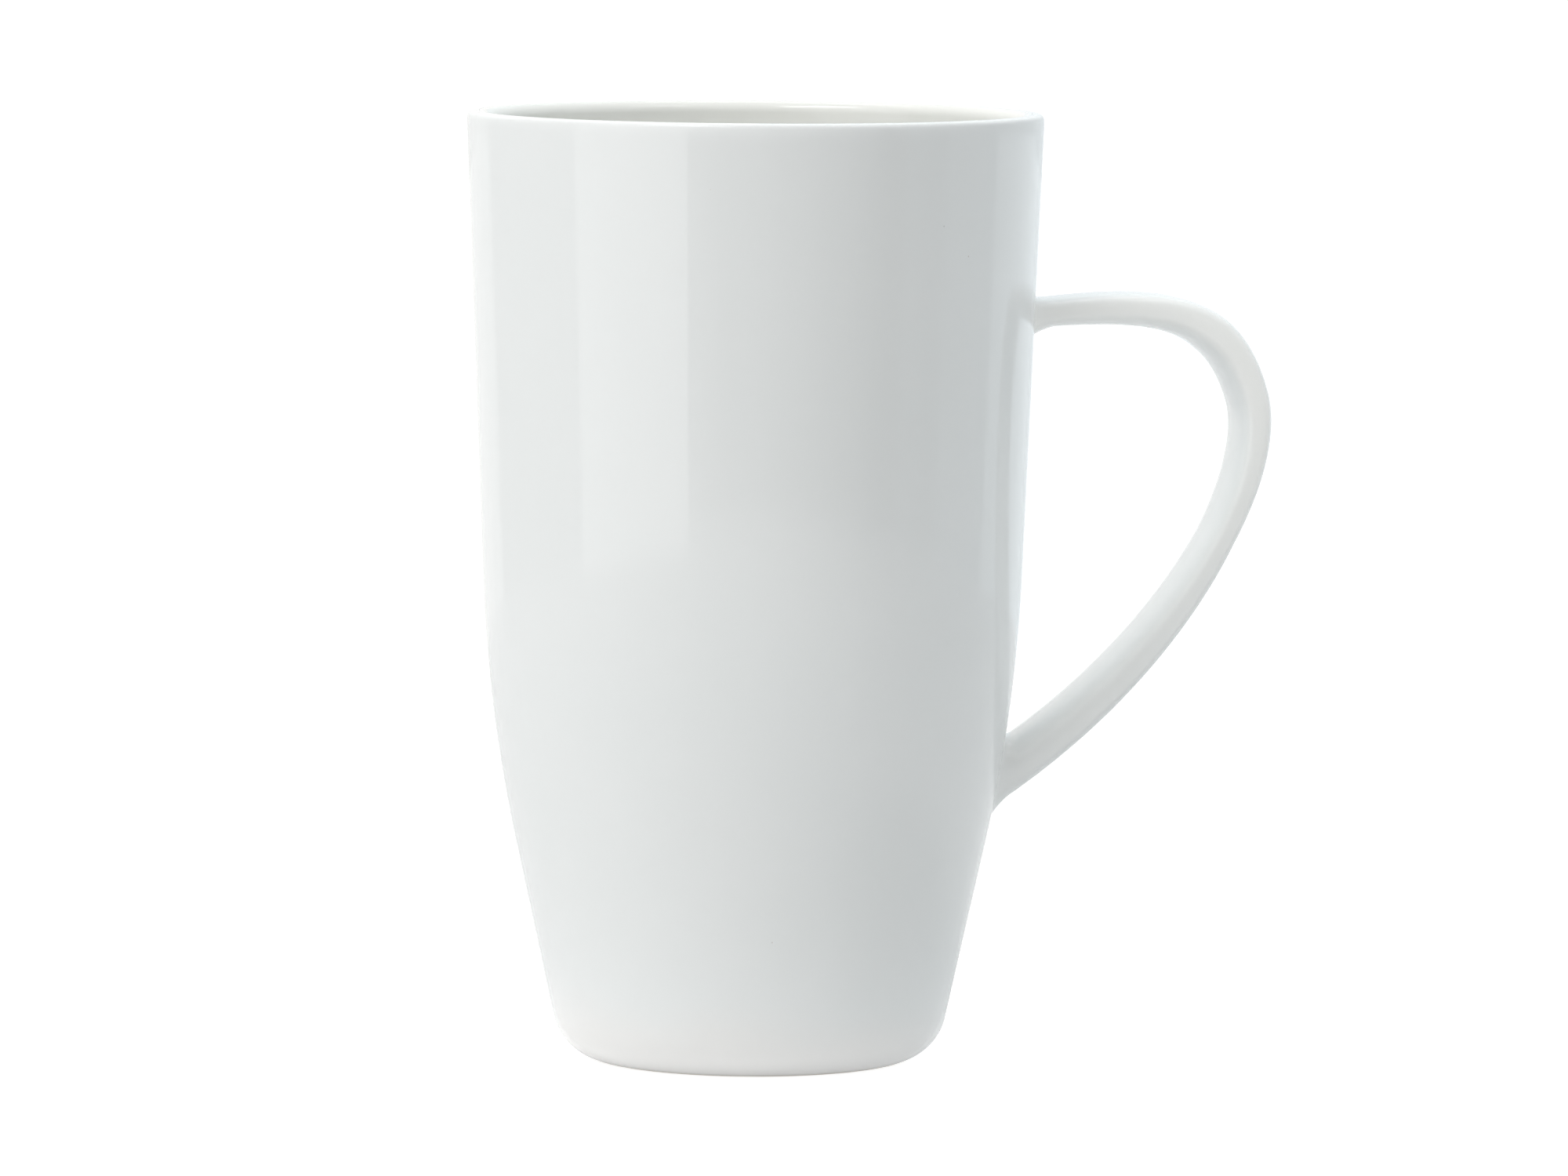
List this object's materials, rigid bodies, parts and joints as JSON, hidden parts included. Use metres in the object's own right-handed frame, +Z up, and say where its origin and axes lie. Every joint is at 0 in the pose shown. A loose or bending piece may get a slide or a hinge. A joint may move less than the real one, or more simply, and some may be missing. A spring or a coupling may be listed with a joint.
{
  "type": "tall mug",
  "caption": "Tall tapered porcelain mug with a strap handle luted to its wall, glazed inside and out above a bare foot ring.",
  "frame": {"origin": "middle of the foot ring, on the plane the mug stands on", "axes": "+Z up along the cup's axis, +X towards the handle, +Y across the handle, completing a right-handed frame"},
  "size_m": [0.1196, 0.0848, 0.14],
  "materials": {
    "porcelain_body": "fired bare porcelain, fine matte",
    "porcelain_handle": "fired porcelain under glaze",
    "luting_slip": "fired slip, wiped smooth",
    "liner_glaze": "clear glossy glaze, poured",
    "dipped_glaze": "clear glossy glaze, dipped"
  },
  "bodies": {
    "root": {"body": "porcelain_body", "handle": "porcelain_handle", "upper_luting_slip": "luting_slip", "lower_luting_slip": "luting_slip", "inner_glaze": "liner_glaze", "outer_glaze": "dipped_glaze", "base_glaze": "dipped_glaze", "handle_glaze": "dipped_glaze"}
  },
  "joints": []
}
